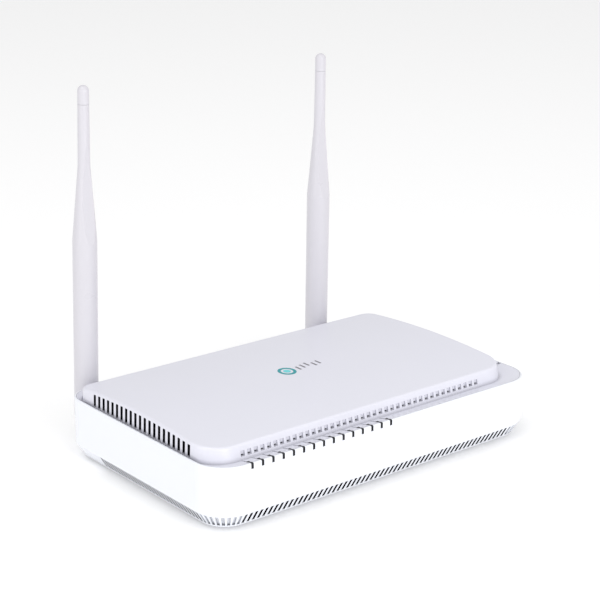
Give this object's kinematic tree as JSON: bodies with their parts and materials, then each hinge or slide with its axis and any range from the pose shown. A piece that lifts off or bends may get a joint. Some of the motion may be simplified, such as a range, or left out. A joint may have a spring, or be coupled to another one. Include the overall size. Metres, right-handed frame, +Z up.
{
  "type": "optical network terminal",
  "caption": "White desktop fibre terminal and wireless router: vented rounded box with a crowned cover, indicator slots, rear sockets and folding, swivelling antennas.",
  "frame": {"origin": "on the table, under the centre of the box around the whole object, antennas included", "axes": "+X to the right seen from the front, +Y towards the rear sockets and antennas, +Z up"},
  "size_m": [0.204, 0.1432, 0.185],
  "materials": {
    "housing_white": "glossy moulded white",
    "cover_white": "satin moulded white",
    "panel_grey": "fine matt texture",
    "foot_rubber": "soft matt",
    "screw_steel": "zinc plated",
    "board_green": "solder mask over glass fibre laminate",
    "chip_black": "matt epoxy",
    "sink_aluminium": "extruded, clear anodised",
    "shield_tin": "tin plated sheet",
    "capacitor_sleeve": "printed sleeve over an aluminium can",
    "inductor_ferrite": "matt ferrite",
    "led_body": "clear lens on a white body",
    "light_pipe_smoke": "smoked clear",
    "optical_green": "moulded green",
    "jack_black": "moulded black",
    "usb_blue": "moulded blue",
    "contact_brass": "bare",
    "button_white": "satin moulded white",
    "antenna_white": "satin moulded pale grey white"
  },
  "bodies": {
    "housing": {"lower_housing": "housing_white", "top_cover": "cover_white", "port_panel": "panel_grey", "rubber_feet": "foot_rubber", "case_screws": "screw_steel", "board_screws": "screw_steel", "main_board": "board_green", "main_chip": "chip_black", "heat_sink": "sink_aluminium", "memory_chip": "chip_black", "rf_shield": "shield_tin", "lan_transformers": "chip_black", "filter_capacitors": "capacitor_sleeve", "power_inductors": "inductor_ferrite", "status_leds": "led_body", "light_pipe": "light_pipe_smoke", "optical_port": "optical_green", "optical_transceiver": "shield_tin", "phone_jack_1": "jack_black", "phone_jack_2": "jack_black", "lan_jack_1": "jack_black", "lan_jack_2": "jack_black", "lan_jack_3": "jack_black", "lan_jack_4": "jack_black", "usb_port": "shield_tin", "usb_tongue": "usb_blue", "power_jack": "jack_black", "power_jack_pin": "contact_brass", "power_switch": "jack_black", "side_switches": "jack_black", "left_antenna_bushing": "antenna_white", "right_antenna_bushing": "antenna_white"},
    "left_elbow": {"left_antenna_elbow": "antenna_white", "left_elbow_clip": "screw_steel"},
    "left_antenna": {"left_hinge_pin": "screw_steel", "left_antenna_sleeve": "antenna_white", "left_antenna_tip": "antenna_white", "left_antenna_radiator": "contact_brass"},
    "right_elbow": {"right_antenna_elbow": "antenna_white", "right_elbow_clip": "screw_steel"},
    "right_antenna": {"right_hinge_pin": "screw_steel", "right_antenna_sleeve": "antenna_white", "right_antenna_tip": "antenna_white", "right_antenna_radiator": "contact_brass"},
    "power_button": {"power_button": "button_white"},
    "wlan_button": {"wlan_button": "button_white"},
    "wps_button": {"wps_button": "button_white"},
    "reset_button": {"reset_button": "jack_black"}
  },
  "joints": [
    {"name": "left_antenna_swivel", "type": "hinge", "parent": "housing", "child": "left_elbow", "pos_m": [-0.085, 0.06538, 0.016], "axis": [0, -1, 0], "range_deg": [-20, 90]},
    {"name": "left_antenna_fold", "type": "hinge", "parent": "left_elbow", "child": "left_antenna", "pos_m": [-0.085, 0.06538, 0.016], "axis": [-0.9995, 0, 0.0332], "range_deg": [0, 90]},
    {"name": "right_antenna_swivel", "type": "hinge", "parent": "housing", "child": "right_elbow", "pos_m": [0.067, 0.06538, 0.016], "axis": [0, 1, 0], "range_deg": [-20, 90]},
    {"name": "right_antenna_fold", "type": "hinge", "parent": "right_elbow", "child": "right_antenna", "pos_m": [0.067, 0.06538, 0.016], "axis": [-0.9998, 0, 0.0175], "range_deg": [0, 90]},
    {"name": "power_button_press", "type": "slide", "parent": "housing", "child": "power_button", "axis": [0, -1, 0], "range_m": [0, 0.002], "stiffness_N_per_m": 400, "springref_m": -0.001},
    {"name": "wlan_button_press", "type": "slide", "parent": "housing", "child": "wlan_button", "axis": [-1, 0, 0], "range_m": [0, 0.0005], "stiffness_N_per_m": 800, "springref_m": -0.0005},
    {"name": "wps_button_press", "type": "slide", "parent": "housing", "child": "wps_button", "axis": [-1, 0, 0], "range_m": [0, 0.0005], "stiffness_N_per_m": 800, "springref_m": -0.0005},
    {"name": "reset_button_press", "type": "slide", "parent": "housing", "child": "reset_button", "axis": [-1, 0, 0], "range_m": [0, 0.0005], "stiffness_N_per_m": 800, "springref_m": -0.0005}
  ]
}
